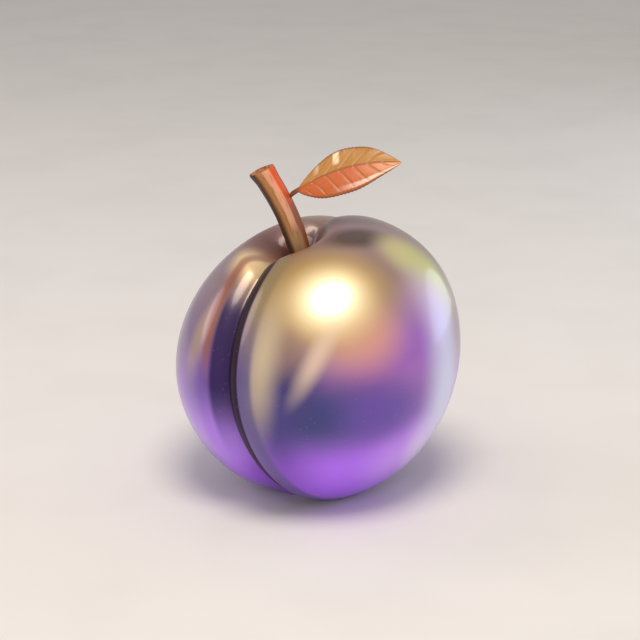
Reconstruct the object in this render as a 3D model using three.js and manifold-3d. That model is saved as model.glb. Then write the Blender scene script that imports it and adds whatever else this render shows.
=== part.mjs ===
// A peach as picked: one fruit with its crease, the woody stem in its hollow, and one leaf on the stem.
// Millimetres, +Z up. The fruit leans a little, as it rests, and the origin is the centre of the small
// flat that it rests on. The crease faces -Y, and its two lobes lie to -X and +X.

import * as THREE from 'three';
import { mergeVertices } from 'three/addons/utils/BufferGeometryUtils.js';
import Module from 'manifold-3d';

const wasm = await Module();
wasm.setup();

// ---------------------------------------------------------------- driving dimensions

const FOOT_GAP = 0.5; // upward clearance between the stem's foot and the hollow
const LEAF_GAP = 0.12; // sideways clearance between the leaf's foot and the stem

const FRUIT = {
  halfWidth: 35.7, // crease plane to the cheek of a lobe
  halfDepth: 37.0, // stem axis to the front and to the back
  crownHeight: 30.7, // widest level to the shoulders, before the hollow is sunk
  baseHeight: 37.0, // widest level to the blossom end
  shortLobe: 0.06, // how much less the -X lobe hangs down
  lobeBlend: 8.5, // distance from the crease plane over which one lobe turns into the other
  shear: 0.086, // how far the shoulders are set back for each millimetre of height
  leanForward: 16.5, // degrees that the stem end leans towards the crease side
  leanSideways: 10.0, // degrees that the stem end leans towards the -X lobe
  meridians: 60,
  rings: 44,
  meridianCrowding: 1.6, // more than 1 draws the meridians towards the crease
};

const CREASE = {
  depth: 7.4, // along the front
  backDepth: 5.6, // where it runs out over the back shoulder
  halfWidth: 8.5, // crease bottom to the rounded lip of a lobe
  rounding: 0.75, // radius of the bottom
  fade: 0.12, // share of the half depth over which the front crease dies away at the sides
};

const HOLLOW = {
  depth: 8.5,
  radius: 13.6,
  setBack: 0.75,
  fadeLevel: 0.25, // share of the crown height below which the hollow has no effect
};

const REST = {
  sink: 1.5, // depth of the flat below which the skin is pressed away
  x: 1.2, // centre of the flat, from the middle of the fruit
  y: -2.6,
  innerAngle: 12, // degrees round the flat where the crease is filled
  outerAngle: 24, // degrees past which the crease has its full depth
};

const STALK_TURN = 42.3; // degrees from +X to the plane in which the stem and the leaf lie

const STEM = {
  baseRadius: 2.6,
  middleRadius: 3.0,
  neckRadius: 3.1, // just under the cut
  cutRadius: 3.4, // the flared end, where it was picked
  cutLength: 2.6, // length of the flare
  sunk: 0.8, // how far the centre line starts below the hollow's floor, where the foot is cut to it
  rise: 26.7, // foot to cut, upwards
  footReach: 2.9, // foot off the hollow's middle, to the leaf's side
  reach: -11.4, // foot to cut, sideways
  back: 2.2, // foot to cut, away from the leaf's front
  bow: 1.5, // how far the middle stands off the straight line
  sides: 20,
  steps: 26,
};

const LEAF = {
  standOff: 0.25, // centre of the leaf's foot to the stem's side, where the foot is cut to it
  height: 0.772, // share of the stem's length at which the leaf grows
  span: 26.6, // stem to tip, sideways
  rise: 9.0, // stem to tip, upwards
  arch: 3.0, // how far the midrib bows above the straight line
  sweep: 2.0, // stem to tip, to the front
  upperWidth: 5.8,
  lowerWidth: 7.1,
  upperSlope: 38, // degrees that the upper half of the blade stands above level
  lowerSlope: 50, // degrees that the lower half hangs below level
  stalkLength: 0.07, // share of the leaf that is bare stalk
  stalkRadius: 0.75,
  ribRadius: 0.5,
  bladeThickness: 0.5,
  edgeThickness: 0.24,
  tipThickness: 0.4, // of the rib and the blade at the tip
  tipShare: 0.15, // share of the length over which the leaf thins to its tip
  roundness: 0.9, // less than 1 fills out the oval
  widest: 0.45, // share of the blade's length at which it is widest
  steps: 34,
  ribs: 5, // points across each half of the blade
};

// ---------------------------------------------------------------- finishes

const skinFinish = new THREE.MeshStandardMaterial({ color: 0x9a6fb0, roughness: 0.3, metalness: 0.35 });
const barkFinish = new THREE.MeshStandardMaterial({ color: 0xa5683f, roughness: 0.6, metalness: 0.0 });
const bladeFinish = new THREE.MeshStandardMaterial({ color: 0xcf8a4e, roughness: 0.45, metalness: 0.0 });

// ---------------------------------------------------------------- helpers

const clamp01 = (value) => Math.min(Math.max(value, 0), 1);
const smooth = (value) => clamp01(value) ** 2 * (3 - 2 * clamp01(value));
const mix = (from, to, share) => from + (to - from) * share;
const radians = THREE.MathUtils.degToRad;

/** Leaves only merged positions, so that the surface closes. */
function weld(geometry) {
  geometry.deleteAttribute('normal');
  geometry.deleteAttribute('uv');
  return mergeVertices(geometry, 1e-4);
}

function toSolid(geometry) {
  const welded = weld(geometry.clone());
  const vertProperties = new Float32Array(welded.attributes.position.array);
  const triVerts = new Uint32Array(welded.index.array);
  return new wasm.Manifold(new wasm.Mesh({ numProp: 3, vertProperties, triVerts }));
}

function toGeometry(solid) {
  const mesh = solid.getMesh();
  const geometry = new THREE.BufferGeometry();
  geometry.setAttribute('position', new THREE.BufferAttribute(mesh.vertProperties, 3));
  geometry.setIndex(new THREE.BufferAttribute(mesh.triVerts, 1));
  geometry.computeVertexNormals();
  return geometry;
}

/** Moves every vertex of a geometry to the point that a rule gives for it. */
function reshape(geometry, rule) {
  const position = geometry.attributes.position;
  const point = new THREE.Vector3();
  for (let index = 0; index < position.count; index += 1) {
    rule(point.fromBufferAttribute(position, index));
    position.setXYZ(index, point.x, point.y, point.z);
  }
  geometry.computeVertexNormals();
  return geometry;
}

// ---------------------------------------------------------------- fruit

const lean = new THREE.Matrix4()
  .makeRotationY(radians(-FRUIT.leanSideways))
  .multiply(new THREE.Matrix4().makeRotationX(radians(FRUIT.leanForward)));

const restDirection = new THREE.Vector3(REST.x, REST.y, -FRUIT.baseHeight)
  .applyMatrix4(lean.clone().invert())
  .normalize();

/** Draws a unit direction's meridian towards the crease, where the surface turns fastest. */
function crowdMeridian(direction) {
  const turn = Math.atan2(direction.x, -direction.y);
  const crowded = Math.sign(turn) * Math.PI * (Math.abs(turn) / Math.PI) ** FRUIT.meridianCrowding;
  const across = Math.hypot(direction.x, direction.y);
  return direction.set(across * Math.sin(crowded), -across * Math.cos(crowded), direction.z);
}

/** Depth of the crease at a point of the plain fruit, whose direction from the middle is given. */
function creaseDepth(point, direction) {
  const offPlane = Math.hypot(point.x, CREASE.rounding);
  const near = 1 - Math.min(offPlane / CREASE.halfWidth, 1);
  const profile = 1 - Math.sqrt(1 - near * near);
  const front = 1 / (1 + Math.exp(point.y / (CREASE.fade * FRUIT.halfDepth)));
  const back = (1 - front) * clamp01(direction.z) ** 2;
  const fromRest = THREE.MathUtils.radToDeg(direction.angleTo(restDirection));
  const open = smooth((fromRest - REST.innerAngle) / (REST.outerAngle - REST.innerAngle));
  return profile * open * (CREASE.depth * front + CREASE.backDepth * back);
}

/** Turns a unit direction into the skin's point in that direction, before the fruit leans. */
function skinPoint(direction) {
  const way = direction.clone();
  const point = direction.set(FRUIT.halfWidth * way.x, FRUIT.halfDepth * way.y, 0);
  const otherLobe = smooth(0.5 - point.x / (2 * FRUIT.lobeBlend));
  const base = FRUIT.baseHeight * (1 - FRUIT.shortLobe * otherLobe);
  point.z = way.z * (way.z > 0 ? FRUIT.crownHeight : base);
  point.multiplyScalar(1 - creaseDepth(point, way) / point.length());
  const fromStem = Math.hypot(point.x, point.y - HOLLOW.setBack);
  const level = clamp01(point.z / (HOLLOW.fadeLevel * FRUIT.crownHeight));
  point.z -= HOLLOW.depth * smooth(1 - fromStem / HOLLOW.radius) * level;
  point.y += FRUIT.shear * point.z;
  return point;
}

function fruitGeometry() {
  const ball = new THREE.SphereGeometry(1, FRUIT.meridians, FRUIT.rings).rotateX(Math.PI / 2);
  const skin = reshape(ball, (point) => skinPoint(crowdMeridian(point.normalize())).applyMatrix4(lean));
  skin.computeBoundingBox();
  const ground = skin.boundingBox.min.z + REST.sink;
  const blockSize = 4 * FRUIT.halfDepth;
  const block = new THREE.BoxGeometry(blockSize, blockSize, blockSize);
  block.translate(0, 0, ground - blockSize / 2);
  return { geometry: toGeometry(toSolid(skin).subtract(toSolid(block))), ground };
}

// ---------------------------------------------------------------- stem

/** Centre line of the stem, from its foot in the hollow, in the turned plane of stem and leaf. */
function stemCurve() {
  const end = new THREE.Vector3(STEM.reach, STEM.back, STEM.rise);
  const across = new THREE.Vector3(end.z, 0, -end.x).normalize().multiplyScalar(STEM.bow);
  const middle = end.clone().multiplyScalar(0.5).add(across);
  const control = middle.multiplyScalar(2).addScaledVector(end, -0.5);
  return new THREE.QuadraticBezierCurve3(new THREE.Vector3(), control, end);
}

function stemRadius(share, length) {
  const flare = smooth(1 - (1 - share) * (length / STEM.cutLength));
  const shaft = mix(STEM.baseRadius, STEM.middleRadius, smooth(2 * share));
  const upper = mix(shaft, STEM.neckRadius, smooth(2 * share - 1));
  return mix(upper, STEM.cutRadius, flare);
}

/** A lathe-turned rod bent along the centre line, so that its section stays square to the line. */
function stemGeometry(curve) {
  const length = curve.getLength();
  const profile = [new THREE.Vector2(0, 0)];
  for (let step = 0; step <= STEM.steps; step += 1) {
    const share = step / STEM.steps;
    profile.push(new THREE.Vector2(stemRadius(share, length), share));
  }
  profile.push(new THREE.Vector2(0, 1));
  const depthAxis = new THREE.Vector3(0, 1, 0);
  return weld(
    reshape(new THREE.LatheGeometry(profile, STEM.sides), (point) => {
      const centre = curve.getPointAt(clamp01(point.y));
      const tangent = curve.getTangentAt(clamp01(point.y));
      const side = new THREE.Vector3().crossVectors(depthAxis, tangent).normalize();
      const depth = new THREE.Vector3().crossVectors(side, tangent);
      point.copy(centre.addScaledVector(side, point.x).addScaledVector(depth, point.z));
    }),
  );
}

// ---------------------------------------------------------------- leaf

/** Midrib of the leaf from the stem's side to the tip: it climbs, arches over and levels out. */
function midribPoint(share) {
  const lift = LEAF.rise * share + LEAF.arch * 4 * share * (1 - share);
  return new THREE.Vector3(LEAF.span * share, -LEAF.sweep * share, lift);
}

/** Share of the full width that the blade has: none on the bare stalk, then a long pointed oval. */
function bladeShare(share) {
  const along = clamp01((share - LEAF.stalkLength) / (1 - LEAF.stalkLength));
  const power = Math.log(0.5) / Math.log(LEAF.widest);
  return Math.sin(Math.PI * along ** power) ** LEAF.roundness;
}

/** Half thickness of the leaf at a share of its length and a distance out from the midrib. */
function halfThickness(share, out) {
  const rib = mix(LEAF.stalkRadius, LEAF.ribRadius, smooth(share / (2 * LEAF.stalkLength)));
  const thick = mix(rib, LEAF.bladeThickness / 2, smooth(out / (2 * rib)));
  return mix(thick, LEAF.tipThickness / 2, smooth(1 - (1 - share) / LEAF.tipShare));
}

/** Closed ring round one section of the leaf: along the top from lower to upper edge, back below. */
function leafSection(share) {
  const centre = midribPoint(share);
  const blade = bladeShare(share);
  const narrowest = mix(LEAF.stalkRadius, LEAF.tipThickness, share);
  const upper = Math.max(LEAF.upperWidth * blade, narrowest);
  const lower = Math.max(LEAF.lowerWidth * blade, narrowest);
  const mean = radians((LEAF.upperSlope + LEAF.lowerSlope) / 2);
  const normal = new THREE.Vector3(0, -Math.sin(mean), Math.cos(mean));
  const top = [];
  const under = [];
  for (let rib = -LEAF.ribs; rib <= LEAF.ribs; rib += 1) {
    const out = Math.abs(rib) / LEAF.ribs;
    const reach = out * (rib > 0 ? upper : lower);
    const slope = radians(rib > 0 ? LEAF.upperSlope : LEAF.lowerSlope);
    const outward = new THREE.Vector3(0, Math.cos(slope), Math.sin(slope));
    const spine = centre.clone().addScaledVector(outward, Math.sign(rib) * reach);
    const half = Math.abs(rib) === LEAF.ribs ? LEAF.edgeThickness / 2 : halfThickness(share, reach);
    top.push(spine.clone().addScaledVector(normal, half));
    under.unshift(spine.clone().addScaledVector(normal, -half));
  }
  return [...top, ...under];
}

/** Skins a run of equal rings and closes both ends with a fan. */
function skinRings(rings) {
  const count = rings[0].length;
  const centres = [rings[0], rings[rings.length - 1]].map((ring) =>
    ring.reduce((sum, point) => sum.add(point), new THREE.Vector3()).divideScalar(count),
  );
  const points = [...rings.flat(), ...centres];
  const faces = [];
  for (let row = 0; row + 1 < rings.length; row += 1) {
    for (let column = 0; column < count; column += 1) {
      const here = row * count + column;
      const next = row * count + ((column + 1) % count);
      faces.push(here, here + count, next, next, here + count, next + count);
    }
  }
  const last = (rings.length - 1) * count;
  for (let column = 0; column < count; column += 1) {
    const next = (column + 1) % count;
    faces.push(column, next, points.length - 2);
    faces.push(last + next, last + column, points.length - 1);
  }
  const geometry = new THREE.BufferGeometry().setFromPoints(points);
  geometry.setIndex(faces);
  geometry.computeVertexNormals();
  return geometry;
}

function leafGeometry() {
  const rings = [];
  for (let step = 0; step <= LEAF.steps; step += 1) {
    rings.push(leafSection(step / LEAF.steps));
  }
  return skinRings(rings);
}

// ---------------------------------------------------------------- assembly

const { geometry: fruitShape, ground } = fruitGeometry();
const fruit = new THREE.Mesh(fruitShape, skinFinish);
fruit.name = 'fruit';

const hollowFloor = skinPoint(new THREE.Vector3(0, 0, 1)).applyMatrix4(lean);
const stalkPlace = new THREE.Matrix4()
  .makeTranslation(hollowFloor.x, hollowFloor.y, hollowFloor.z)
  .multiply(new THREE.Matrix4().makeRotationZ(radians(STALK_TURN)))
  .multiply(new THREE.Matrix4().makeTranslation(STEM.footReach, 0, -STEM.sunk));

const stemLine = stemCurve();
const stemRod = toSolid(stemGeometry(stemLine).applyMatrix4(stalkPlace));
const hollowSkin = toSolid(fruitShape.clone().translate(0, 0, FOOT_GAP));
const stem = new THREE.Mesh(toGeometry(stemRod.subtract(hollowSkin)), barkFinish);
stem.name = 'stem';

const leafFoot = stemLine.getPointAt(LEAF.height);
leafFoot.x += stemRadius(LEAF.height, stemLine.getLength()) + LEAF.standOff;
const leafAtFoot = leafGeometry().translate(leafFoot.x, leafFoot.y, leafFoot.z);
const leafRod = toSolid(leafAtFoot.applyMatrix4(stalkPlace));
const stemSide = toSolid(stemGeometry(stemLine).translate(LEAF_GAP, 0, 0).applyMatrix4(stalkPlace));
const leaf = new THREE.Mesh(toGeometry(leafRod.subtract(stemSide)), bladeFinish);
leaf.name = 'leaf';

const peach = new THREE.Group();
peach.add(fruit, stem, leaf);
peach.position.set(-REST.x, -REST.y, -ground);

export default peach;
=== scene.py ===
"""The looks of a picked peach: a glossy creased fruit, its woody stem and one leaf, on a pale studio floor.

Every length in the dataclasses is in millimetres and every angle in degrees. Meshes are in metres, in the
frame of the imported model: +Z up, the crease towards -Y, the origin on the flat that the fruit rests on.
"""

import logging
import math
from collections.abc import Callable
from dataclasses import dataclass, field
from enum import Enum

import bmesh
import bpy
import numpy as np
from mathutils import Matrix, Vector


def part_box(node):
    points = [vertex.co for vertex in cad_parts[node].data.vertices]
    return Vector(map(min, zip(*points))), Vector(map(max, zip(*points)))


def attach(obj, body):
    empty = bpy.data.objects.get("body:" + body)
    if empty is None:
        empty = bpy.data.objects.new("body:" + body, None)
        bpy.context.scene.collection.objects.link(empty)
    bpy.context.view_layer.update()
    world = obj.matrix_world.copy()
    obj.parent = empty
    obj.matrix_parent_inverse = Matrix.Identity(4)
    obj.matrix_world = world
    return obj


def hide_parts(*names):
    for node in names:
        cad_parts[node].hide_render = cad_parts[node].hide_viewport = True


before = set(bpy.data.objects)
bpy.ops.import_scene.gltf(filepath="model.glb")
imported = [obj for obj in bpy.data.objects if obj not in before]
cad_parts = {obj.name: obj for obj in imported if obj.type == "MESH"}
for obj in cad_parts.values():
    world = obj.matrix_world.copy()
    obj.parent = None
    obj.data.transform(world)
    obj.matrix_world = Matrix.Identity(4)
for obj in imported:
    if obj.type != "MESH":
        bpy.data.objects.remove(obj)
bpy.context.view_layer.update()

MM = 0.001
WELD_M = 2e-7  # points closer together than this are one
LOG = logging.getLogger("peach")


class Body(str, Enum):
    """The rigid bodies of the model."""

    ROOT = "root"


class Node(str, Enum):
    """The solids that the visible pieces stand for."""

    FRUIT = "fruit"
    STEM = "stem"
    LEAF = "leaf"


class Slot(str, Enum):
    """The record's material slots."""

    SKIN = "skin"
    BARK = "bark"
    BLADE = "blade"


# ------------------------------------------------------------------ nodes


def linear(code: str) -> tuple[float, float, float, float]:
    """Turns an sRGB hex colour into linear RGBA.

    Args:
        code: Six hex digits, such as "C89A5B".

    Returns:
        The linear colour with full alpha.
    """
    parts = [int(code[start : start + 2], 16) / 255 for start in (0, 2, 4)]
    low = [part / 12.92 for part in parts]
    high = [((part + 0.055) / 1.055) ** 2.4 for part in parts]
    red, green, blue = (a if p <= 0.04045 else b for p, a, b in zip(parts, low, high))
    return red, green, blue, 1.0


def add_node(tree: bpy.types.NodeTree, kind: str, inputs: dict | None = None, **settings) -> bpy.types.Node:
    """Adds one node with its settings, its fixed inputs and its links.

    Args:
        tree: The tree that gets the node.
        kind: The node's type identifier.
        inputs: Input name or index to a socket, a Field or a fixed value.
        **settings: Properties of the node.

    Returns:
        The new node.
    """
    node = tree.nodes.new(kind)
    for name, value in settings.items():
        setattr(node, name, value)
    for key, value in (inputs or {}).items():
        value = value.socket if isinstance(value, Field) else value
        if isinstance(value, bpy.types.NodeSocket):
            tree.links.new(value, node.inputs[key])
        else:
            node.inputs[key].default_value = value
    return node


class Field:
    """A number that a node tree works out, so that a rule reads as a formula."""

    def __init__(self, tree: bpy.types.NodeTree, socket: bpy.types.NodeSocket) -> None:
        """Wraps a socket of a tree."""
        self.tree = tree
        self.socket = socket

    def math(self, operation: str, *others: "Field | float", flip: bool = False) -> "Field":
        """Adds a Math node.

        Args:
            operation: The node's operation.
            *others: Further operands.
            flip: Whether this field is the second operand.

        Returns:
            The result.
        """
        operands = [*others, self] if flip else [self, *others]
        inputs = dict(enumerate(operands))
        return Field(self.tree, add_node(self.tree, "ShaderNodeMath", inputs, operation=operation).outputs[0])

    def __add__(self, other: "Field | float") -> "Field":
        """Sum."""
        return self.math("ADD", other)

    def __sub__(self, other: "Field | float") -> "Field":
        """Difference."""
        return self.math("SUBTRACT", other)

    def __mul__(self, other: "Field | float") -> "Field":
        """Product."""
        return self.math("MULTIPLY", other)

    def __truediv__(self, other: "Field | float") -> "Field":
        """Quotient."""
        return self.math("DIVIDE", other)

    def __pow__(self, other: "Field | float") -> "Field":
        """Power."""
        return self.math("POWER", other)

    def __rsub__(self, other: float) -> "Field":
        """Difference from a number."""
        return self.math("SUBTRACT", other, flip=True)

    def __neg__(self) -> "Field":
        """Negative."""
        return self.math("MULTIPLY", -1.0)

    __radd__ = __add__
    __rmul__ = __mul__

    def sin(self) -> "Field":
        """Sine of radians."""
        return self.math("SINE")

    def cos(self) -> "Field":
        """Cosine of radians."""
        return self.math("COSINE")

    def root(self) -> "Field":
        """Square root."""
        return self.math("SQRT")

    def size(self) -> "Field":
        """Absolute value."""
        return self.math("ABSOLUTE")

    def least(self, other: "Field | float") -> "Field":
        """Smaller of the two."""
        return self.math("MINIMUM", other)

    def most(self, other: "Field | float") -> "Field":
        """Larger of the two."""
        return self.math("MAXIMUM", other)

    def above(self, level: "Field | float") -> "Field":
        """One where the field is above a level, else zero."""
        return self.math("GREATER_THAN", level)

    def smooth(self, low: "Field | float", high: "Field | float") -> "Field":
        """Smooth step from 0 at low to 1 at high."""
        inputs = {0: self, 1: low, 2: high}
        node = add_node(self.tree, "ShaderNodeMapRange", inputs, interpolation_type="SMOOTHSTEP")
        return Field(self.tree, node.outputs[0])

    def mix(self, low: "Field | float", high: "Field | float") -> "Field":
        """Goes from low, where the field is 0, to high, where it is 1."""
        return self * (high - low) + low


Triple = tuple[Field, Field, Field]


def hypot(*parts: Field) -> Field:
    """Length of a vector given by its parts."""
    total = parts[0] * parts[0]
    for part in parts[1:]:
        total = total + part * part
    return total.root()


def turn_rows(vector: Triple, matrix: Matrix) -> Triple:
    """Turns a vector of fields by a fixed 3 by 3 matrix."""
    rows = [vector[0] * row[0] + vector[1] * row[1] + vector[2] * row[2] for row in matrix.to_3x3()]
    return rows[0], rows[1], rows[2]


def packed(tree: bpy.types.NodeTree, vector: Triple) -> bpy.types.NodeSocket:
    """Joins three fields into one vector socket."""
    return add_node(tree, "ShaderNodeCombineXYZ", dict(enumerate(vector))).outputs[0]


# ------------------------------------------------------------------ surfaces that follow a rule


@dataclass(frozen=True)
class Ruled:
    """What a rule gives for one point of a surface: its place, and named values for its finish."""

    place: Triple
    values: dict[str, Field]


Rule = Callable[[dict[str, Field], Field, Field], Ruled]


class RuledSurface:
    """A closed surface that a Geometry Nodes tree bends out of a grid by a rule."""

    def __init__(self, name: str, columns: int, rows: int, sizes: dict[str, float], rule: Rule) -> None:
        """Keeps what the tree needs.

        Args:
            name: Name of the finished piece.
            columns: Grid points once round the surface.
            rows: Grid points from one end to the other.
            sizes: Named inputs of the tree.
            rule: Gives the place of a point from the sizes and its two shares of the grid.
        """
        self.name = name
        self.columns = columns
        self.rows = rows
        self.sizes = sizes
        self.rule = rule

    def _tree(self, material: bpy.types.Material) -> bpy.types.NodeTree:
        """Builds the tree: grid, rule, weld, finish.

        Args:
            material: The finish of the surface.

        Returns:
            The node tree.
        """
        tree = bpy.data.node_groups.new(f"{self.name}_rule", "GeometryNodeTree")
        tree.interface.new_socket("Geometry", in_out="OUTPUT", socket_type="NodeSocketGeometry")
        for size in self.sizes:
            tree.interface.new_socket(size, in_out="INPUT", socket_type="NodeSocketFloat")
        entry = tree.nodes.new("NodeGroupInput")
        sizes = {size: Field(tree, entry.outputs[size]) for size in self.sizes}
        counts = {"Vertices X": self.columns, "Vertices Y": self.rows, "Size X": 1.0, "Size Y": 1.0}
        grid = add_node(tree, "GeometryNodeMeshGrid", counts)
        place = tree.nodes.new("GeometryNodeInputPosition").outputs[0]
        split = add_node(tree, "ShaderNodeSeparateXYZ", {0: place})
        ruled = self.rule(sizes, Field(tree, split.outputs[0]) + 0.5, Field(tree, split.outputs[1]) + 0.5)
        shape = grid.outputs[0]
        for name, value in ruled.values.items():
            inputs = {"Geometry": shape, "Name": name, "Value": value}
            kind = {"data_type": "FLOAT", "domain": "POINT"}
            stored = add_node(tree, "GeometryNodeStoreNamedAttribute", inputs, **kind)
            shape = stored.outputs[0]
        scaled = tuple(part * MM for part in ruled.place)
        shape = add_node(
            tree, "GeometryNodeSetPosition", {"Geometry": shape, "Position": packed(tree, scaled)}
        ).outputs[0]
        weld = {"Geometry": shape, "Distance": WELD_M}
        shape = add_node(tree, "GeometryNodeMergeByDistance", weld).outputs[0]
        shape = add_node(tree, "GeometryNodeSetShadeSmooth", {"Geometry": shape}).outputs[0]
        finished = add_node(tree, "GeometryNodeSetMaterial", {"Geometry": shape, "Material": material})
        tree.links.new(finished.outputs[0], tree.nodes.new("NodeGroupOutput").inputs[0])
        return tree

    def build(self, material: bpy.types.Material, node: Node, slot: Slot) -> bpy.types.Object:
        """Args:
            material: The finish of the surface.
            node: The solid that the piece stands for.
            slot: The material slot of the piece; not used.

        Returns:
            The finished piece.
        """
        tree = self._tree(material)
        holder = bpy.data.objects.new(f"{self.name}_holder", bpy.data.meshes.new(f"{self.name}_start"))
        bpy.context.scene.collection.objects.link(holder)
        modifier = holder.modifiers.new("rule", "NODES")
        modifier.node_group = tree
        for item in tree.interface.items_tree:
            if item.in_out == "INPUT":
                modifier[item.identifier] = float(self.sizes[item.name])
        depsgraph = bpy.context.evaluated_depsgraph_get()
        evaluated = holder.evaluated_get(depsgraph)
        mesh = bpy.data.meshes.new_from_object(evaluated, preserve_all_data_layers=True, depsgraph=depsgraph)
        bpy.data.objects.remove(holder)
        mesh.name = self.name
        close_outward(mesh)
        fit_to_box(mesh, *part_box(node.value))
        piece = bpy.data.objects.new(self.name, mesh)
        bpy.context.scene.collection.objects.link(piece)
        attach(piece, Body.ROOT.value)
        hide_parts(node.value)
        LOG.info("%s: %d faces", self.name, len(mesh.polygons))
        return piece


def close_outward(mesh: bpy.types.Mesh) -> None:
    """Removes slivers left by welding and points every face outwards."""
    work = bmesh.new()
    work.from_mesh(mesh)
    bmesh.ops.dissolve_degenerate(work, dist=1e-8, edges=work.edges)
    bmesh.ops.recalc_face_normals(work, faces=work.faces)
    work.to_mesh(mesh)
    work.free()


def fit_to_box(mesh: bpy.types.Mesh, low: Vector, high: Vector) -> None:
    """Stretches a mesh by fractions of a millimetre, so that it fills its solid's box exactly."""
    points = np.empty(len(mesh.vertices) * 3, dtype=np.float32)
    mesh.vertices.foreach_get("co", points)
    points = points.reshape(-1, 3)
    start, end = points.min(0), points.max(0)
    target_low, target_high = np.array(low), np.array(high)
    fitted = (points - start) / (end - start) * (target_high - target_low) + target_low
    mesh.vertices.foreach_set("co", fitted.astype(np.float32).ravel())
    mesh.update()


# ------------------------------------------------------------------ finishes


def shader_tree(name: str) -> tuple[bpy.types.Material, bpy.types.NodeTree, bpy.types.Node]:
    """Makes an empty material.

    Args:
        name: Name of the material.

    Returns:
        The material, its tree and its Principled shader.
    """
    material = bpy.data.materials.new(name)
    material.use_nodes = True
    tree = material.node_tree
    tree.nodes.clear()
    shader = tree.nodes.new("ShaderNodeBsdfPrincipled")
    output = tree.nodes.new("ShaderNodeOutputMaterial")
    tree.links.new(shader.outputs[0], output.inputs[0])
    return material, tree, shader


def paint(
    tree: bpy.types.NodeTree,
    under: bpy.types.NodeSocket | str,
    over: bpy.types.NodeSocket | str,
    share: Field,
) -> bpy.types.NodeSocket:
    """Lays one colour over another where a share says.

    Args:
        tree: The material's tree.
        under: Colour below, as a socket or a hex code.
        over: Colour above, as a socket or a hex code.
        share: How much of the upper colour shows.

    Returns:
        The mixed colour.
    """
    colours = [linear(item) if isinstance(item, str) else item for item in (under, over)]
    inputs = {0: share, 6: colours[0], 7: colours[1]}
    return add_node(tree, "ShaderNodeMix", inputs, data_type="RGBA").outputs[2]


def attribute(tree: bpy.types.NodeTree, name: str) -> Field:
    """Reads a named value of the surface."""
    return Field(tree, add_node(tree, "ShaderNodeAttribute", attribute_name=name).outputs["Fac"])


def object_place(tree: bpy.types.NodeTree) -> bpy.types.NodeSocket:
    """Place of the shaded point in the object, in metres."""
    return tree.nodes.new("ShaderNodeTexCoord").outputs["Object"]


def noise(
    tree: bpy.types.NodeTree, place: bpy.types.NodeSocket, grain_mm: float, detail: float = 2.0
) -> Field:
    """Soft noise whose lumps are about grain_mm across."""
    inputs = {"Vector": place, "Scale": 1 / (grain_mm * MM), "Detail": detail}
    return Field(tree, add_node(tree, "ShaderNodeTexNoise", inputs).outputs["Fac"])


def bump(tree: bpy.types.NodeTree, shader: bpy.types.Node, height: Field, depth_mm: float) -> None:
    """Raises the surface by a height field of a given depth."""
    node = add_node(tree, "ShaderNodeBump", {"Strength": 1.0, "Distance": depth_mm * MM, "Height": height})
    tree.links.new(node.outputs[0], shader.inputs["Normal"])


def facing(azimuth: float, elevation: float) -> Vector:
    """Direction at an azimuth from -Y towards +X and an elevation, both in degrees."""
    turn, rise = math.radians(azimuth), math.radians(elevation)
    return Vector((math.sin(turn) * math.cos(rise), -math.cos(turn) * math.cos(rise), math.sin(rise)))


@dataclass(frozen=True)
class ColourAndLightPatch:
    """A soft oval patch on the skin, placed as a place on a globe is: the skin's own colour, or a painted
    highlight, reflection, rim light or shade.
    """

    azimuth: float
    elevation: float
    width: float
    height: float
    colour: str
    strength: float = 1.0
    softness: float = 0.8
    tilt: float = 0.0  # degrees that the oval's height turns clockwise, seen from outside

    def mask(self, tree: bpy.types.NodeTree, way: Triple) -> Field:
        """Share of the patch's colour in each direction from the fruit's middle.

        Args:
            tree: The material's tree.
            way: Unit direction from the fruit's middle.

        Returns:
            The share, from 0 to its strength.
        """
        centre = facing(self.azimuth, self.elevation)
        east = Vector((math.cos(math.radians(self.azimuth)), math.sin(math.radians(self.azimuth)), 0))
        north = centre.cross(east)
        spin = math.radians(self.tilt)
        across = east * math.cos(spin) - north * math.sin(spin)
        along = east * math.sin(spin) + north * math.cos(spin)
        local = turn_rows(way, Matrix((across, along, centre)))
        reach = hypot(
            local[0] / math.sin(math.radians(self.width)), local[1] / math.sin(math.radians(self.height))
        )
        oval = reach.smooth(1 + self.softness, 1 - self.softness)
        return oval * local[2].smooth(0.0, 0.2) * self.strength


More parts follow.
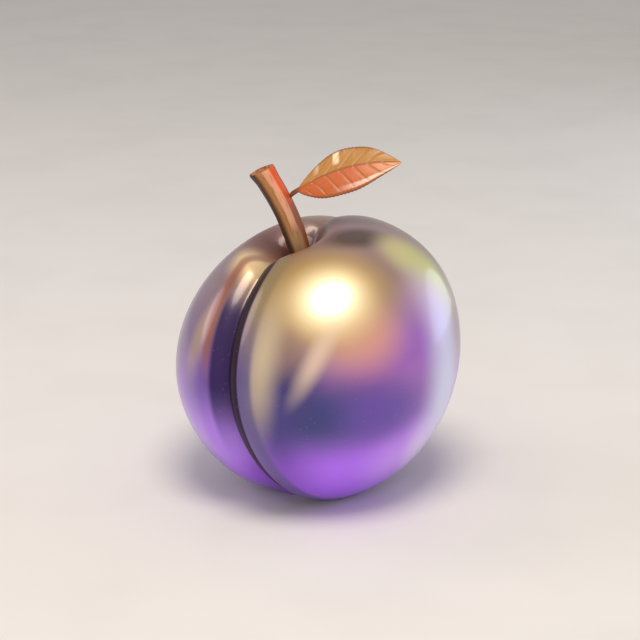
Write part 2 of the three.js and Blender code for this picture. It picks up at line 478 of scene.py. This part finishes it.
SKIN_COLOUR_AND_PAINTED_LIGHT = (
    ColourAndLightPatch(54, -42, 75, 24, "B468FF", 0.95, 0.6),
    ColourAndLightPatch(205, -35, 90, 30, "9A5CE6", 0.8),
    ColourAndLightPatch(22, -31, 14, 16, "7A35BE", 0.85),
    ColourAndLightPatch(84, -34, 14, 12, "D2A0FF", 0.6),
    ColourAndLightPatch(30, 46, 58, 30, "87703F", 0.95),
    ColourAndLightPatch(200, 58, 90, 40, "A48A58", 0.8),
    ColourAndLightPatch(-34, 66, 26, 18, "8A5638", 0.85),
    ColourAndLightPatch(92, 68, 13, 7, "4A362C", 0.9, 0.5, 25),
    # Painted reflection: pale lime tints on the upper right, as a greenish sky reflected in the gloss.
    ColourAndLightPatch(110, 51, 9, 9, "D6C890", 0.8),
    ColourAndLightPatch(115, 37, 12, 14, "CFD080", 0.85),
    ColourAndLightPatch(99, 27, 11, 12, "CDA6CC", 0.7),
    ColourAndLightPatch(83, 12, 17, 16, "A468C8", 0.95),
    ColourAndLightPatch(56, 5, 21, 11, "A460B4", 0.85),
    # Painted reflection: a dark indigo band across the lower middle, as a dark horizon reflected in the gloss.
    ColourAndLightPatch(40, -8, 27, 13, "2A3078", 1.0),
    ColourAndLightPatch(31, 2, 10, 13, "342A72", 0.95),
    ColourAndLightPatch(22, -12, 10, 14, "3B2A80", 0.9),
    ColourAndLightPatch(67, -8, 14, 10, "6040A8", 0.85),
    # Painted rim light: a pale lavender crescent along the right-hand edge and low down.
    ColourAndLightPatch(104, -10, 11, 32, "DCE0FF", 0.9),
    ColourAndLightPatch(99, -35, 8, 16, "E4CCFF", 0.75, 0.8, -35),
    ColourAndLightPatch(62, 21, 13, 11, "EC98A0", 0.75),
    # Painted highlight: a gold glow with a white-gold core, where the key light's reflection also falls.
    ColourAndLightPatch(49, 37, 21, 20, "DDB468", 0.95),
    ColourAndLightPatch(49, 38, 13, 12, "FFF0C8", 0.95),
    ColourAndLightPatch(29, 15, 7, 8, "9A7A66", 0.6),
    # Painted reflection: two pale gold streaks running down from the highlight.
    ColourAndLightPatch(20, 11, 5.5, 20, "D8C39C", 0.85, 1.0, 2),
    ColourAndLightPatch(42, 14, 3.2, 13, "EBCDB2", 0.85, 1.0, 29),
    # Painted highlight: a gold-cream highlight on the far lobe's shoulder.
    ColourAndLightPatch(-27, 57, 11, 10, "FFDDA6", 0.95),
    ColourAndLightPatch(-18, 16, 5, 16, "B89A7C", 0.75),
    ColourAndLightPatch(-6, -8, 12, 10, "5A4492", 0.8),
    ColourAndLightPatch(-6, -26, 18, 14, "B482F0", 0.85),
)

# Painted shade in the stem's hollow: a darker brown, with less gloss there too.
HOLLOW_SHADE = ColourAndLightPatch(-20, 80, 16, 16, "7A5034", 0.9, 0.5)

# Painted shade: a dark line along the near lip of the crease, where its shadow falls.
LIP_SHADE_LINE = "24101F"
# Painted shading of the band beside the lip: khaki at its top, lavender at its base.
LIP_SHADING_TOP = "8E7A54"
LIP_SHADING_BASE = "564A84"
# Painted shade in the crease on the far lobe.
VALLEY_SHADE = "2A1450"
SHOULDER = "94503A"


@dataclass(frozen=True)
class PearlSkin:
    """Waxed skin of a ripe stone fruit, rubbed to a pearly gloss: a soft wide highlight under a clear wax, with
    painted highlights, painted reflections and painted shade laid into its colour.
    """

    name: str = "waxed_fruit_skin"
    ground: str = "8560B4"
    middle: tuple[float, float, float] = (-1.2, 2.6, 34.4)
    roughness: float = 0.36
    metallic: float = 0.25
    wax: float = 0.7
    wax_roughness: float = 0.12
    dot_mm: float = 1.6  # spacing of the pale breathing dots
    dimple_mm: float = 0.02

    def make(self) -> bpy.types.Material:
        """Builds the material."""
        material, tree, shader = shader_tree(self.name)
        place = object_place(tree)
        offset = add_node(
            tree,
            "ShaderNodeVectorMath",
            {0: place, 1: Vector(self.middle) * MM},
            operation="SUBTRACT",
        )
        unit = add_node(tree, "ShaderNodeVectorMath", {0: offset.outputs[0]}, operation="NORMALIZE")
        split = add_node(tree, "ShaderNodeSeparateXYZ", {0: unit.outputs[0]})
        way = tuple(Field(tree, socket) for socket in split.outputs)
        colour = self.ground
        for patch in SKIN_COLOUR_AND_PAINTED_LIGHT:
            colour = paint(tree, colour, patch.colour, patch.mask(tree, way))
        # Painted shade in the stem's hollow.
        hollow_shade = HOLLOW_SHADE.mask(tree, way)
        colour = paint(tree, colour, HOLLOW_SHADE.colour, hollow_shade)
        front = attribute(tree, "front")
        off_crease = attribute(tree, "off_crease")
        near_lobe = off_crease.above(0.0)
        far_lobe = 1 - near_lobe
        off = off_crease.size()
        height = way[2]
        # Painted shading: a band along the near lip, lavender low down and khaki higher up, for the light and
        # shade at the lip's edge.
        lip_shading = off.smooth(6.0, 6.8) * (1 - off.smooth(9.2, 10.8)) * front * near_lobe
        lip_shading_colour = paint(tree, LIP_SHADING_BASE, LIP_SHADING_TOP, height.smooth(0.0, 0.6))
        colour = paint(tree, colour, lip_shading_colour, lip_shading * 0.75)
        # Painted shade: a dark line along the near lip, where the crease's shadow falls.
        shade_line = (1 - off.smooth(5.9, 6.7)) * front * near_lobe
        colour = paint(tree, colour, LIP_SHADE_LINE, shade_line * 0.95)
        shoulder = off.smooth(3.6, 4.8) * (1 - off.smooth(5.6, 7.2)) * front * far_lobe
        colour = paint(tree, colour, SHOULDER, shoulder * height.smooth(-0.1, 0.25) * 0.8)
        # Painted shade: dark indigo deep in the crease on the far lobe, fading out at the top and bottom.
        valley_shade = (1 - off.smooth(3.4, 4.8)) * front * far_lobe
        valley_shade = valley_shade * height.smooth(0.7, 0.45) * height.smooth(-0.6, -0.05)
        colour = paint(tree, colour, VALLEY_SHADE, valley_shade * 0.92)
        spread = {"Vector": place, "Scale": 1 / (self.dot_mm * MM), "Randomness": 0.9}
        dots = add_node(tree, "ShaderNodeTexVoronoi", spread)
        dot = 1 - Field(tree, dots.outputs["Distance"]).smooth(0.06, 0.16)
        colour = paint(tree, colour, "F6E7D2", dot * 0.05)
        tree.links.new(colour, shader.inputs["Base Color"])
        bump(tree, shader, noise(tree, place, 2.5) - dot * 0.5, self.dimple_mm)
        shader.inputs["Roughness"].default_value = self.roughness
        # Less metal, wax and specular where the shade line, the crease shade and the hollow shade are painted.
        gloss_outside_shade = (1 - shade_line * 0.85) * (1 - valley_shade * 0.5) * (1 - hollow_shade * 0.8)
        tree.links.new((gloss_outside_shade * self.metallic).socket, shader.inputs["Metallic"])
        tree.links.new((gloss_outside_shade * self.wax).socket, shader.inputs["Coat Weight"])
        tree.links.new((gloss_outside_shade * 0.5).socket, shader.inputs["Specular IOR Level"])
        shader.inputs["Coat Roughness"].default_value = self.wax_roughness
        shader.inputs["IOR"].default_value = 1.45
        return material


@dataclass(frozen=True)
class Bark:
    """Smooth young bark of a fruit stalk: brown with lengthwise grain, redder where the sun reached it, with a
    painted highlight strip and painted shade down one side.
    """

    name: str = "young_bark"
    roughness: float = 0.5
    grain_mm: float = 0.5

    def make(self) -> bpy.types.Material:
        """Builds the material."""
        material, tree, shader = shader_tree(self.name)
        around = attribute(tree, "around")
        along = attribute(tree, "along")
        cut = attribute(tree, "cut")
        grain_place = packed(tree, (around.cos() * 2.4 * MM, around.sin() * 2.4 * MM, along * 4 * MM))
        grain = noise(tree, grain_place, self.grain_mm, 3.0)
        colour = paint(tree, "8A5030", "B07848", (around - 1.9).cos().smooth(0.75, 0.95))
        sunny = (around - 0.45).cos().smooth(0.5, 0.85) * along.smooth(0.5, 0.85)
        colour = paint(tree, colour, "E4581C", sunny * 0.95)
        # Painted highlight: a pale pink strip down the stem's front, above its foot.
        painted_highlight_strip = (around - 1.2).cos().smooth(0.93, 0.985) * along.smooth(0.3, 0.55)
        colour = paint(tree, colour, "F4B894", painted_highlight_strip * 0.65)
        foot = (around - 1.4).cos().smooth(0.6, 0.9) * (1 - along.smooth(0.3, 0.5))
        colour = paint(tree, colour, "B08A62", foot)
        # Painted shade: one side of the stem darkened to umber.
        shade = (around - 3.0).cos().smooth(0.35, 0.75)
        colour = paint(tree, colour, "2C130D", shade * 0.9)
        colour = paint(tree, colour, "2E1710", grain.smooth(0.52, 0.75) * 0.4)
        colour = paint(tree, colour, "B5714A", cut)
        colour = paint(tree, colour, "7A3F28", cut * noise(tree, object_place(tree), 0.7).smooth(0.45, 0.65))
        tree.links.new(colour, shader.inputs["Base Color"])
        bump(tree, shader, grain, 0.12)
        shader.inputs["Roughness"].default_value = self.roughness
        shader.inputs["Specular IOR Level"].default_value = 0.25
        return material


@dataclass(frozen=True)
class AutumnBlade:
    """Leaf blade that has turned ochre and orange: waxy above, with a darker rib and a brown margin, and a
    painted highlight strip and painted glints.
    """

    name: str = "autumn_leaf_blade"
    roughness: float = 0.42

    def make(self) -> bpy.types.Material:
        """Builds the material."""
        material, tree, shader = shader_tree(self.name)
        across = attribute(tree, "across")
        along = attribute(tree, "along")
        vein = attribute(tree, "vein")
        mottle = noise(tree, object_place(tree), 3.0, 3.0)
        colour = paint(tree, "C4602C", "B87F36", across.smooth(-0.08, 0.12))
        colour = paint(tree, colour, "E0965C", along.smooth(0.5, 0.95) * 0.6 * (1 - across.smooth(-0.2, 0.1)))
        # Painted highlight: a pale pink-white strip near the lower margin, towards the tip.
        painted_highlight_strip = (1 - (across + 0.78).size().smooth(0.05, 0.12)) * along.smooth(0.35, 0.75)
        colour = paint(tree, colour, "FFE4D0", painted_highlight_strip * 0.85)
        # Painted glints: pale streaks across the upper half of the blade, near its margin.
        painted_glints = (along * 34.0).sin().smooth(0.3, 0.9) * along.smooth(0.2, 0.3) * (1 - along.smooth(0.5, 0.6))
        painted_glints = painted_glints * across.smooth(0.25, 0.5)
        colour = paint(tree, colour, "FFE6BC", painted_glints * 0.9)
        colour = paint(tree, colour, "B5702F", mottle.smooth(0.5, 0.75) * 0.35)
        colour = paint(tree, colour, "A8662C", vein * 0.3)
        rib = 1 - across.size().smooth(0.02, 0.09)
        colour = paint(tree, colour, "8F5526", rib * 0.8)
        margin = across.size().smooth(0.86, 0.97)
        colour = paint(tree, colour, "7E4A26", margin * 0.85)
        colour = paint(tree, colour, "7A4426", 1 - along.smooth(0.04, 0.12))
        tree.links.new(colour, shader.inputs["Base Color"])
        bump(tree, shader, noise(tree, object_place(tree), 0.7), 0.05)
        shader.inputs["Roughness"].default_value = self.roughness
        shader.inputs["Coat Weight"].default_value = 0.2
        shader.inputs["Coat Roughness"].default_value = 0.2
        return material


@dataclass(frozen=True)
class StudioPaper:
    """Matte pale paper of the studio floor."""

    name: str = "studio_paper"
    colour: str = "EDE9E4"

    def make(self) -> bpy.types.Material:
        """Builds the material."""
        material, tree, shader = shader_tree(self.name)
        mottle = noise(tree, object_place(tree), 40.0)
        colour = paint(tree, self.colour, "EAE6E1", mottle.smooth(0.4, 0.7))
        tree.links.new(colour, shader.inputs["Base Color"])
        shader.inputs["Roughness"].default_value = 0.9
        return material


# ------------------------------------------------------------------ pieces


@dataclass
class Fruit:
    """The fruit: two lobes on either side of a crease, with the stem's hollow between the shoulders."""

    half_width: float = 35.7
    half_depth: float = 37.0
    crown_height: float = 30.7
    base_height: float = 37.0
    short_lobe: float = 0.06
    lobe_blend: float = 8.5
    shear: float = 0.086
    crease_depth: float = 7.4
    crease_back: float = 5.6
    crease_width: float = 8.5
    crease_rounding: float = 0.75
    crease_fade: float = 0.12
    hollow_depth: float = 8.5
    hollow_radius: float = 13.6
    hollow_back: float = 0.75
    hollow_level: float = 0.25
    rest_level: float = -34.3  # floor below the fruit's middle
    lean_forward: float = 16.5
    lean_sideways: float = 10.0
    rest_x: float = 1.2
    rest_y: float = -2.6
    rest_inner: float = 12.0
    rest_outer: float = 24.0
    plane_nudge: float = 1e-4  # puts the points on the crease plane on the near side
    crowding: float = 1.6
    columns: int = 321
    rows: int = 241
    skin: PearlSkin = field(default_factory=PearlSkin)

    def lean(self) -> Matrix:
        """Turn from the upright fruit to the leaning one."""
        sideways = Matrix.Rotation(math.radians(-self.lean_sideways), 3, "Y")
        return sideways @ Matrix.Rotation(math.radians(self.lean_forward), 3, "X")

    def rest_way(self) -> Vector:
        """Direction from the upright fruit's middle to the flat that it rests on."""
        down = Vector((self.rest_x, self.rest_y, -self.base_height))
        return (self.lean().transposed() @ down).normalized()

    def sizes(self) -> dict[str, float]:
        """Named inputs of the tree."""
        names = (
            "half_width half_depth crown_height base_height short_lobe lobe_blend shear "
            "crease_depth crease_back crease_width crease_rounding crease_fade "
            "hollow_depth hollow_radius hollow_back hollow_level rest_level"
        )
        return {name: getattr(self, name) for name in names.split()}

    def _crease(self, size: dict[str, Field], way: Triple, x: Field, y: Field) -> tuple[Field, Field, Field]:
        """Depth of the crease.

        Args:
            size: The tree's named inputs.
            way: Unit direction from the middle.
            x: Distance from the crease plane on the plain fruit.
            y: Distance behind the stem axis on the plain fruit.

        Returns:
            The depth, the distance off the crease plane, and the share of the front crease.
        """
        off_plane = hypot(x, size["crease_rounding"])
        near = 1 - (off_plane / size["crease_width"]).least(1.0)
        profile = 1 - (1 - near * near).root()
        slope = y / (size["crease_fade"] * size["half_depth"])
        front = (slope.math("EXPONENT") + 1.0) ** -1.0
        back = (1 - front) * way[2].most(0.0) ** 2.0
        rest = self.rest_way()
        from_rest = (way[0] * rest.x + way[1] * rest.y + way[2] * rest.z).least(1.0).math("ARCCOSINE")
        opened = from_rest.smooth(math.radians(self.rest_inner), math.radians(self.rest_outer))
        depth = profile * opened * (size["crease_depth"] * front + size["crease_back"] * back)
        return depth, off_plane, front * opened

    def rule(self, size: dict[str, Field], across: Field, down: Field) -> Ruled:
        """Place of a point of the skin.

        Args:
            size: The tree's named inputs.
            across: Share of the way round, with the crease at one half.
            down: Share of the way from the stem to the blossom end.

        Returns:
            The place in the part's frame and the values for the finish.
        """
        signed = across * 2.0 - 1.0
        turn = signed.math("SIGN") * (signed.size() ** self.crowding) * math.pi
        polar = down * math.pi
        way = (polar.sin() * turn.sin(), -(polar.sin() * turn.cos()), polar.cos())
        x = way[0] * size["half_width"]
        y = way[1] * size["half_depth"]
        other_lobe = (0.5 - x / (size["lobe_blend"] * 2.0)).smooth(0.0, 1.0)
        base = size["base_height"] * (1 - size["short_lobe"] * other_lobe)
        z = way[2] * way[2].above(0.0).mix(base, size["crown_height"])
        depth, off_plane, front = self._crease(size, way, x, y)
        side = (x + self.plane_nudge).math("SIGN")
        shrink = 1 - depth / hypot(x, y, z)
        x, y, z = x * shrink, y * shrink, z * shrink
        from_stem = hypot(x, y - size["hollow_back"])
        level = (z / (size["hollow_level"] * size["crown_height"])).most(0.0).least(1.0)
        sunk = (1 - from_stem / size["hollow_radius"]).smooth(0.0, 1.0) * level
        z = z - size["hollow_depth"] * sunk
        y = y + size["shear"] * z
        x, y, z = turn_rows((x, y, z), self.lean())
        place = (x - self.rest_x, y - self.rest_y, (z - size["rest_level"]).most(0.0))
        return Ruled(place, {"off_crease": off_plane * side, "front": front})

    def build(self) -> bpy.types.Object:
        """Builds and dresses the fruit."""
        surface = RuledSurface("fruit_skin", self.columns, self.rows, self.sizes(), self.rule)
        return surface.build(self.skin.make(), Node.FRUIT, Slot.SKIN)


@dataclass(frozen=True)
class StalkPlane:
    """The upright plane in which the stem and the leaf lie, from the stem's foot."""

    turn: float = 42.3
    foot: tuple[float, float, float] = (-1.8, 0.8, 52.0)

    def placed(self, local: Triple) -> Triple:
        """Places a point of the plane in the part's frame."""
        turned = turn_rows(local, Matrix.Rotation(math.radians(self.turn), 3, "Z"))
        return turned[0] + self.foot[0], turned[1] + self.foot[1], turned[2] + self.foot[2]


@dataclass
class Stem:
    """The woody stem: a bowed rod that flares to the end where it was picked."""

    base_radius: float = 2.6
    middle_radius: float = 3.0
    neck_radius: float = 3.1
    cut_radius: float = 3.4
    flare: float = 0.11  # share of the length
    rise: float = 26.7
    reach: float = -11.4
    back: float = 2.2
    bow: float = 1.5
    lip_rise: float = 0.35  # how far the cut's lip stands up
    cut_dip: float = 0.45  # how far the cut's middle lies below its lip
    foot_share: float = 0.02  # share of the rows that close the foot
    ridges: float = 5.0
    ridge_height: float = 0.05
    shaft_share: float = 0.88  # share of the grid's rows that go to the shaft, the rest closes the cut
    columns: int = 97
    rows: int = 181
    plane: StalkPlane = field(default_factory=StalkPlane)
    bark: Bark = field(default_factory=Bark)

    def sizes(self) -> dict[str, float]:
        """Named inputs of the tree."""
        names = "base_radius middle_radius neck_radius cut_radius flare rise reach back bow ridge_height"
        return {name: getattr(self, name) for name in names.split()}

    def radius(self, size: dict[str, Field], along: Field) -> Field:
        """Radius of the rod at a share of its length."""
        shaft = (along * 2.0).smooth(0.0, 1.0).mix(size["base_radius"], size["middle_radius"])
        upper = (along * 2.0 - 1.0).smooth(0.0, 1.0).mix(shaft, size["neck_radius"])
        flared = (1 - (1 - along) / size["flare"]).smooth(0.0, 1.0)
        return flared.mix(upper, size["cut_radius"])

    def rule(self, size: dict[str, Field], across: Field, up: Field) -> Ruled:
        """Place of a point of the bark.

        Args:
            size: The tree's named inputs.
            across: Share of the way round the rod.
            up: Share of the rows from the foot to the middle of the cut.

        Returns:
            The place in the part's frame and the values for the finish.
        """
        around = across * (2 * math.pi)
        along = (up / self.shaft_share).least(1.0)
        closing = ((up - self.shaft_share) / (1 - self.shaft_share)).most(0.0)
        rim = (1 - closing * closing).root() * (1 - (up - self.foot_share).least(0.0) / -self.foot_share)
        ridge = 1 + size["ridge_height"] * (around * self.ridges + along * 4.0).sin()
        radius = self.radius(size, along) * ridge * rim
        dome = closing.smooth(0.0, 0.25) * self.lip_rise - closing.smooth(0.3, 1.0) * self.cut_dip
        length = hypot(size["rise"], size["reach"])
        bend = size["bow"] * 4.0 * along * (1 - along)
        side_x, side_z = size["rise"] / length, -size["reach"] / length
        lift = dome / size["rise"] + along
        x = size["reach"] * lift + side_x * bend + side_x * radius * around.cos()
        z = size["rise"] * lift + side_z * bend + side_z * radius * around.cos()
        y = size["back"] * lift - radius * around.sin()
        return Ruled(
            self.plane.placed((x, y, z)),
            {"around": around, "along": along, "cut": closing.smooth(0.25, 0.4)},
        )

    def build(self) -> bpy.types.Object:
        """Builds and dresses the stem."""
        surface = RuledSurface("stem_bark", self.columns, self.rows, self.sizes(), self.rule)
        return surface.build(self.bark.make(), Node.STEM, Slot.BARK)


@dataclass
class Leaf:
    """The leaf: a pointed oval blade folded along its midrib, with side veins and a toothed margin."""

    span: float = 26.6
    rise: float = 9.0
    arch: float = 3.0
    sweep: float = 2.0
    upper_width: float = 5.8
    lower_width: float = 7.1
    upper_slope: float = 38.0
    lower_slope: float = 50.0
    stalk_share: float = 0.07
    stalk_radius: float = 0.75
    rib_radius: float = 0.45
    blade_half: float = 0.16
    widest: float = 0.45
    veins: float = 8.0
    vein_depth: float = 0.16
    teeth: float = 30.0
    tooth_depth: float = 0.03
    ripple: float = 0.22
    ripple_turn: float = 17.0  # radians of ripple from stalk to tip
    ripple_shift: float = 1.3  # radians between the ripples of the two halves
    tooth_slant: float = 0.3  # how far the teeth lean forward, in teeth
    vein_slant: float = 1.35  # how far a vein runs forward from rib to margin, in spacings
    rib_groove: float = 0.2  # depth of the groove over the midrib
    end_share: float = 0.012  # share of the length over which each end closes
    columns: int = 161
    rows: int = 241
    start: tuple[float, float, float] = (-5.0, 1.6, 20.0)  # in the stalk plane, from the stem's foot
    plane: StalkPlane = field(default_factory=StalkPlane)
    blade: AutumnBlade = field(default_factory=AutumnBlade)

    def sizes(self) -> dict[str, float]:
        """Named inputs of the tree."""
        names = (
            "span rise arch sweep upper_width lower_width stalk_radius rib_radius blade_half "
            "vein_depth tooth_depth ripple"
        )
        return {name: getattr(self, name) for name in names.split()}

    def blade_share(self, along: Field) -> Field:
        """Share of the full width that the blade has at a share of the length."""
        bare = ((along - self.stalk_share) / (1 - self.stalk_share)).most(0.0).least(1.0)
        power = math.log(0.5) / math.log(self.widest)
        return ((bare**power) * math.pi).sin().most(0.0) ** 0.9

    def rule(self, size: dict[str, Field], around: Field, along: Field) -> Ruled:
        """Place of a point of the leaf.

        Args:
            size: The tree's named inputs.
            around: Share of the way round a section: over the top, then back below.
            along: Share of the way from the stem to the tip.

        Returns:
            The place in the part's frame and the values for the finish.
        """
        across = 1 - (around * 4.0 - 2.0).size()
        face = 1 - around.above(0.5) * 2.0
        blade = self.blade_share(along)
        upper = across.above(0.0)
        out = across.size()
        tooth = (along * self.teeth + out * self.tooth_slant).math("FRACT")
        toothed = 1 - size["tooth_depth"] * tooth
        width = upper.mix(size["lower_width"], size["upper_width"]) * blade * toothed
        stalk = size["stalk_radius"] * (1 - along * 0.8)
        reach = width.most(stalk) * across
        slope = upper.mix(math.radians(self.lower_slope), math.radians(self.upper_slope)) + out * out * 0.12
        crest = (along * self.veins - out * self.vein_slant).math("FRACT")
        vein = (1 - (crest - 0.5).size().smooth(0.02, 0.16)) * out.smooth(0.02, 0.1)
        vein = vein * (1 - out.smooth(0.75, 0.98)) * blade.smooth(0.2, 0.6)
        wave = (along * self.ripple_turn + upper * self.ripple_shift).sin() * out * out * size["ripple"] * blade
        rib = (along / (2 * self.stalk_share)).smooth(0.0, 1.0).mix(size["stalk_radius"], size["rib_radius"])
        from_rib = (reach.size() / (rib * 2.0)).smooth(0.0, 1.0)
        half = from_rib.mix(rib * (1 - along * 0.7), size["blade_half"]) * (1 - out * out * out * out).root()
        end = (along / self.end_share).least(1.0) * ((1 - along) / self.end_share).least(1.0)
        mean = math.radians((self.upper_slope + self.lower_slope) / 2)
        groove = (1 - out.smooth(0.0, 0.12)) * self.rib_groove * face.above(0.0)
        off = half * face + wave - vein * size["vein_depth"] - groove
        x = size["span"] * along
        y = -(size["sweep"] * along) + (slope.cos() * reach - off * math.sin(mean)) * end
        z = size["rise"] * along + size["arch"] * 4.0 * along * (1 - along)
        z = z + (slope.sin() * reach + off * math.cos(mean)) * end
        place = (x + self.start[0], y + self.start[1], z + self.start[2])
        return Ruled(self.plane.placed(place), {"across": across, "along": along, "vein": vein})

    def build(self) -> bpy.types.Object:
        """Builds and dresses the leaf."""
        surface = RuledSurface("leaf_blade", self.columns, self.rows, self.sizes(), self.rule)
        return surface.build(self.blade.make(), Node.LEAF, Slot.BLADE)


# ------------------------------------------------------------------ studio


@dataclass(frozen=True)
class Softbox:
    """A round softbox aimed at the middle of the fruit."""

    name: str
    azimuth: float
    elevation: float
    distance: float
    radius: float
    watts: float
    colour: str = "FFFFFF"
    mirrored: bool = True  # whether its reflection shows in glossy surfaces


@dataclass
class Studio:
    """Pale floor, soft light and the camera."""

    middle: tuple[float, float, float] = (-1.2, 2.6, 34.4)
    camera_azimuth: float = 42.3
    camera_elevation: float = 18.6
    camera_distance: float = 462.5
    aim_right: float = 0.7
    aim_up: float = 6.7
    lens: float = 104.1
    floor_size: float = 6000.0
    world_colour: str = "F4F2F0"
    world_strength: float = 0.5
    paper: StudioPaper = field(default_factory=StudioPaper)
    boxes: tuple[Softbox, ...] = (
        Softbox("key_light", 46, 72, 600, 150, 2.0, "FFF6E8"),
        Softbox("fill_light", 46, -2, 700, 240, 2.0, mirrored=False),
        Softbox("cool_rim_light", 165, 2, 500, 200, 0.7, "D5E2FF"),
        Softbox("back_light", -60, 30, 700, 200, 0.8, "F3E6FF"),
    )

    def _aimed(self, item: bpy.types.Object, place: Vector, target: Vector) -> None:
        """Links an object at a place, looking at a target."""
        item.location = place
        item.rotation_euler = (target - place).to_track_quat("-Z", "Y").to_euler()
        bpy.context.scene.collection.objects.link(item)

    def build_camera(self) -> None:
        """Makes the camera and gives it to the scene."""
        data = bpy.data.cameras.new("camera")
        data.lens = self.lens
        data.clip_end = 50.0
        camera = bpy.data.objects.new("camera", data)
        away = facing(self.camera_azimuth, self.camera_elevation)
        turn = math.radians(self.camera_azimuth)
        right = Vector((math.cos(turn), math.sin(turn), 0))
        middle = Vector(self.middle) * MM
        target = middle + (right * self.aim_right + away.cross(right) * self.aim_up) * MM
        self._aimed(camera, middle + away * self.camera_distance * MM, target)
        bpy.context.scene.camera = camera

    def build_light(self) -> None:
        """Makes the softboxes and the even light of the room."""
        middle = Vector(self.middle) * MM
        for box in self.boxes:
            data = bpy.data.lights.new(box.name, "AREA")
            data.shape = "DISK"
            data.size = 2 * box.radius * MM
            data.energy = box.watts
            data.color = linear(box.colour)[:3]
            place = middle + facing(box.azimuth, box.elevation) * box.distance * MM
            light = bpy.data.objects.new(box.name, data)
            light.visible_glossy = box.mirrored
            self._aimed(light, place, middle)
        world = bpy.data.worlds.new("studio_room")
        world.use_nodes = True
        shade = world.node_tree.nodes["Background"]
        shade.inputs["Color"].default_value = linear(self.world_colour)
        shade.inputs["Strength"].default_value = self.world_strength
        bpy.context.scene.world = world

    def build_floor(self) -> bpy.types.Object:
        """Makes the floor at the height that the fruit rests on."""
        half = self.floor_size / 2 * MM
        mesh = bpy.data.meshes.new("floor")
        corners = [(-half, -half, 0), (half, -half, 0), (half, half, 0), (-half, half, 0)]
        mesh.from_pydata(corners, [], [(0, 1, 2, 3)])
        mesh.materials.append(self.paper.make())
        floor = bpy.data.objects.new("floor", mesh)
        bpy.context.scene.collection.objects.link(floor)
        return floor

    def build(self) -> None:
        """Builds the whole studio."""
        bpy.context.scene.view_settings.view_transform = "Standard"
        self.build_camera()
        self.build_light()
        self.build_floor()
        LOG.info("studio: %d softboxes", len(self.boxes))


def main() -> None:
    """Builds the studio and every piece of the peach."""
    logging.basicConfig(level=logging.INFO, format="%(name)s: %(message)s")
    Studio().build()
    for piece in (Fruit(), Stem(), Leaf()):
        built = piece.build()
        LOG.info("%s stands for its solid", built.name)


if __name__ == "__main__":
    main()
